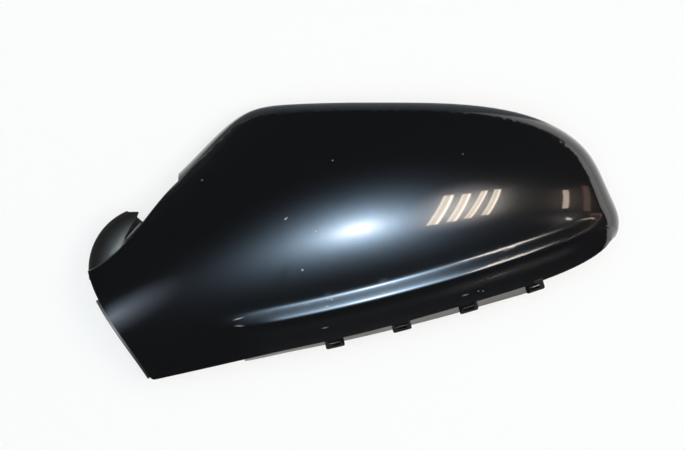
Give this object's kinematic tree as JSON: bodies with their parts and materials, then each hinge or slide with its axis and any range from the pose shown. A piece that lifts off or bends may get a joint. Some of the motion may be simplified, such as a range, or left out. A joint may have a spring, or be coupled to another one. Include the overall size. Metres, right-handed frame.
{
  "type": "wing mirror cover",
  "caption": "Gloss-black moulded wing mirror cover: rounded head with a stepped crease, short neck with a curved tongue, and clip tabs along the lower lip.",
  "frame": {"origin": "middle of the cover's length and height in plan, on the plane of the rim", "axes": "+X along the length from the neck to the outer end, +Y towards the cover's upper side, +Z from the rim towards the crown of the front"},
  "size_m": [0.249, 0.1299, 0.062],
  "materials": {
    "gloss_black": "high-gloss black with fine dust and light scuffs"
  },
  "bodies": {
    "root": {"mirror_cover_shell": "gloss_black"}
  },
  "joints": []
}
